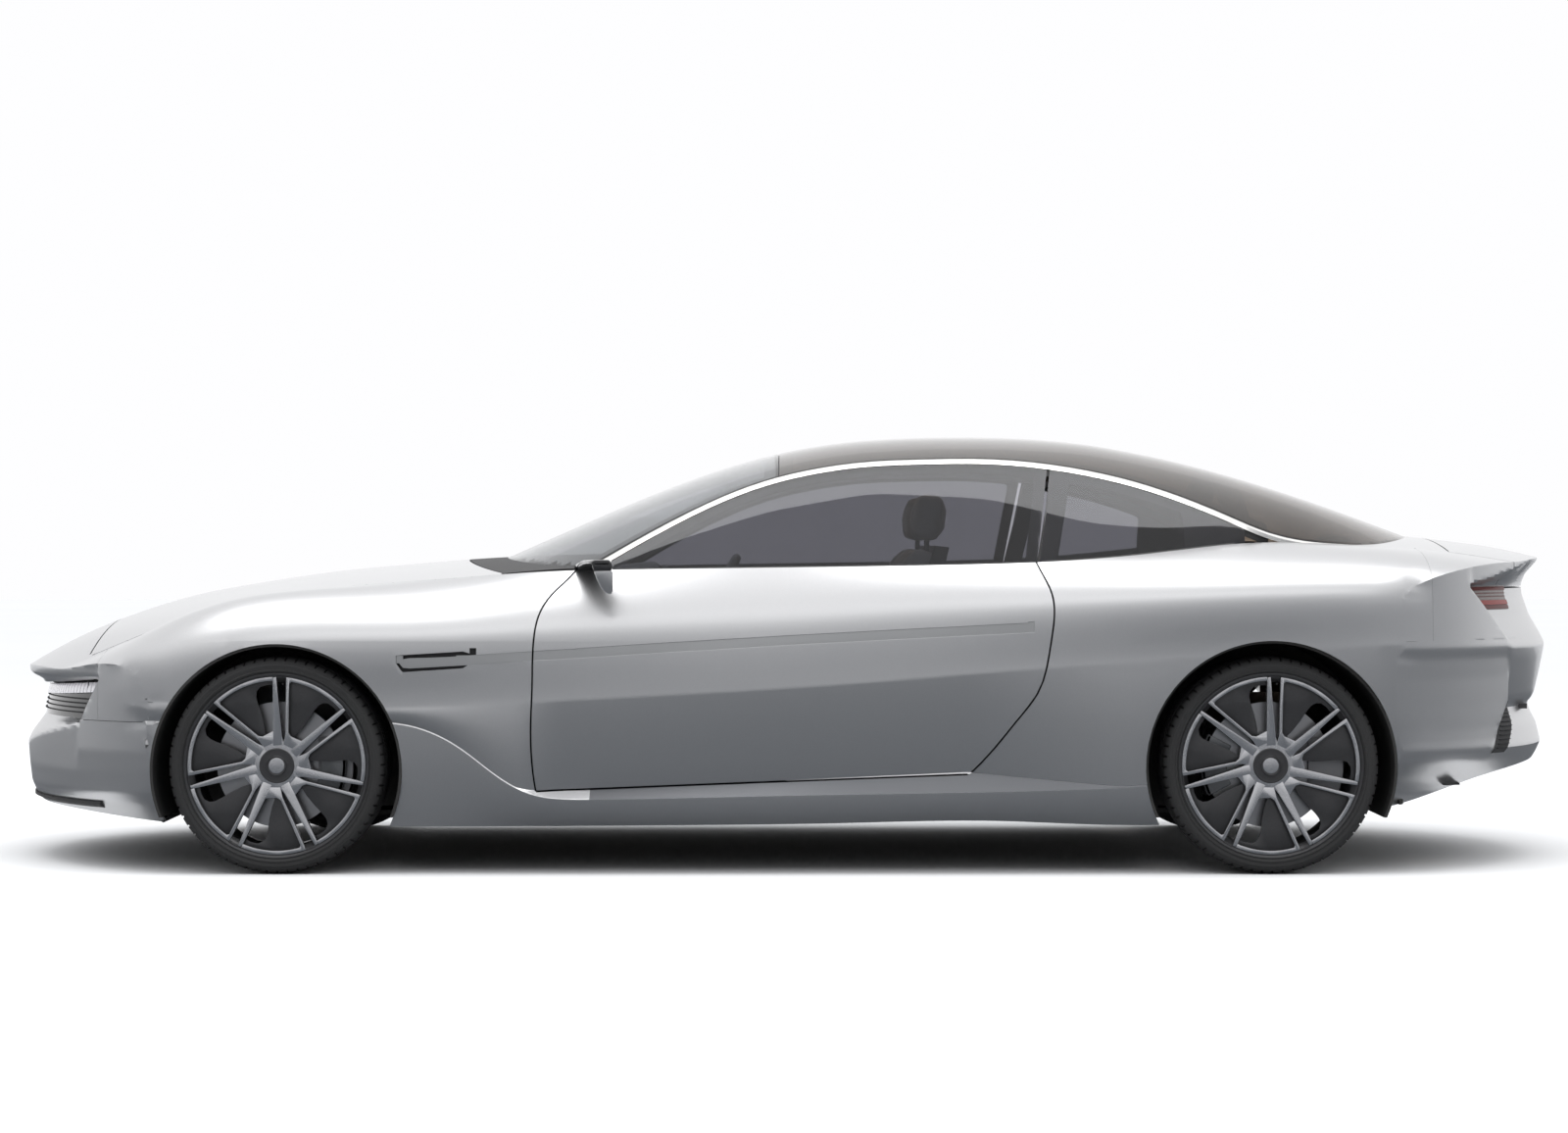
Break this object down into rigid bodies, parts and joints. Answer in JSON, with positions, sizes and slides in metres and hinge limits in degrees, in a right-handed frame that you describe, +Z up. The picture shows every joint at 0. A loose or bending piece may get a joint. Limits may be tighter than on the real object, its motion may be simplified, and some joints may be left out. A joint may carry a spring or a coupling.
{
  "type": "two-door fastback concept coupe",
  "caption": "Full-size low two-door fastback coupe with glass roof, opening doors, bonnet and boot lid, steered front wheels and turning road wheels.",
  "frame": {"origin": "on the ground under the middle of the car", "axes": "+X from the nose to the tail, +Y to the right side of the car, +Z up"},
  "size_m": [4.9579, 2, 1.3436],
  "materials": {
    "paint": "silver metallic",
    "glass": "light grey tint",
    "roof_glass": "bronze tint",
    "black_trim": "gloss black",
    "bright_trim": "satin bright",
    "underbody": "matt black",
    "cabin": "soft",
    "leather": "grained",
    "engine": "cast",
    "chassis": "coated",
    "lamp": "clear over bright reflector",
    "tail_lamp": "red lens",
    "tyre": "rubber",
    "alloy": "machined and dark painted",
    "disc": "turned"
  },
  "bodies": {
    "root": {"front_bumper": "paint", "nose_panel": "paint", "fender_left": "paint", "fender_right": "paint", "side_left": "paint", "side_right": "paint", "tail_panel": "paint", "rear_bumper": "paint", "rear_deck": "paint", "windscreen": "glass", "roof_glass": "roof_glass", "quarter_glass": "glass", "roof_frame": "black_trim", "roof_trim": "bright_trim", "floor": "underbody", "wheel_tubs": "underbody", "firewall": "underbody", "dashboard": "cabin", "steering_wheel": "leather", "front_seats": "leather", "rear_seat": "leather", "boot_floor": "underbody", "engine": "engine", "front_subframe": "chassis", "rear_subframe": "chassis", "rear_knuckles": "chassis", "grille": "black_trim", "headlamps": "lamp", "tail_lamps": "tail_lamp"},
    "door_left": {"door_left": "paint", "door_glass_left": "glass", "mirror_left": "paint"},
    "door_right": {"door_right": "paint", "door_glass_right": "glass", "mirror_right": "paint"},
    "bonnet": {"bonnet": "paint"},
    "boot_lid": {"boot_lid": "paint"},
    "steer_left": {"knuckle_front_left": "chassis"},
    "steer_right": {"knuckle_front_right": "chassis"},
    "wheel_front_left": {"tyre_front_left": "tyre", "rim_front_left": "alloy", "disc_front_left": "disc"},
    "wheel_front_right": {"tyre_front_right": "tyre", "rim_front_right": "alloy", "disc_front_right": "disc"},
    "wheel_rear_left": {"tyre_rear_left": "tyre", "rim_rear_left": "alloy", "disc_rear_left": "disc"},
    "wheel_rear_right": {"tyre_rear_right": "tyre", "rim_rear_right": "alloy", "disc_rear_right": "disc"}
  },
  "joints": [
    {"name": "door_left_hinge", "type": "hinge", "parent": "root", "child": "door_left", "pos_m": [-0.714, -0.918, 0.52], "axis": [0, 0, -1], "range_deg": [0, 60]},
    {"name": "door_right_hinge", "type": "hinge", "parent": "root", "child": "door_right", "pos_m": [-0.714, 0.918, 0.52], "axis": [0, 0, 1], "range_deg": [0, 60]},
    {"name": "bonnet_hinge", "type": "hinge", "parent": "root", "child": "bonnet", "pos_m": [-2.124, 0, 0.70265], "axis": [0, -1, 0], "range_deg": [0, 50]},
    {"name": "boot_hinge", "type": "hinge", "parent": "root", "child": "boot_lid", "pos_m": [2.106, 0, 0.95611], "axis": [0, -1, 0], "range_deg": [0, 60]},
    {"name": "steer_left", "type": "hinge", "parent": "root", "child": "steer_left", "pos_m": [-1.544, -0.785, 0.327], "axis": [0, 0, 1], "range_deg": [-30, 30]},
    {"name": "steer_right", "type": "hinge", "parent": "root", "child": "steer_right", "pos_m": [-1.544, 0.785, 0.327], "axis": [0, 0, 1], "range_deg": [-30, 30]},
    {"name": "spin_front_left", "type": "hinge", "parent": "steer_left", "child": "wheel_front_left", "pos_m": [-1.544, -0.8025, 0.327], "axis": [0, 1, 0], "continuous": true},
    {"name": "spin_front_right", "type": "hinge", "parent": "steer_right", "child": "wheel_front_right", "pos_m": [-1.544, 0.8025, 0.327], "axis": [0, 1, 0], "continuous": true},
    {"name": "spin_rear_left", "type": "hinge", "parent": "root", "child": "wheel_rear_left", "pos_m": [1.456, -0.8025, 0.327], "axis": [0, 1, 0], "continuous": true},
    {"name": "spin_rear_right", "type": "hinge", "parent": "root", "child": "wheel_rear_right", "pos_m": [1.456, 0.8025, 0.327], "axis": [0, 1, 0], "continuous": true}
  ],
  "couplings": [
    {"joint": "steer_right", "follows": "steer_left", "ratio": 1}
  ]
}
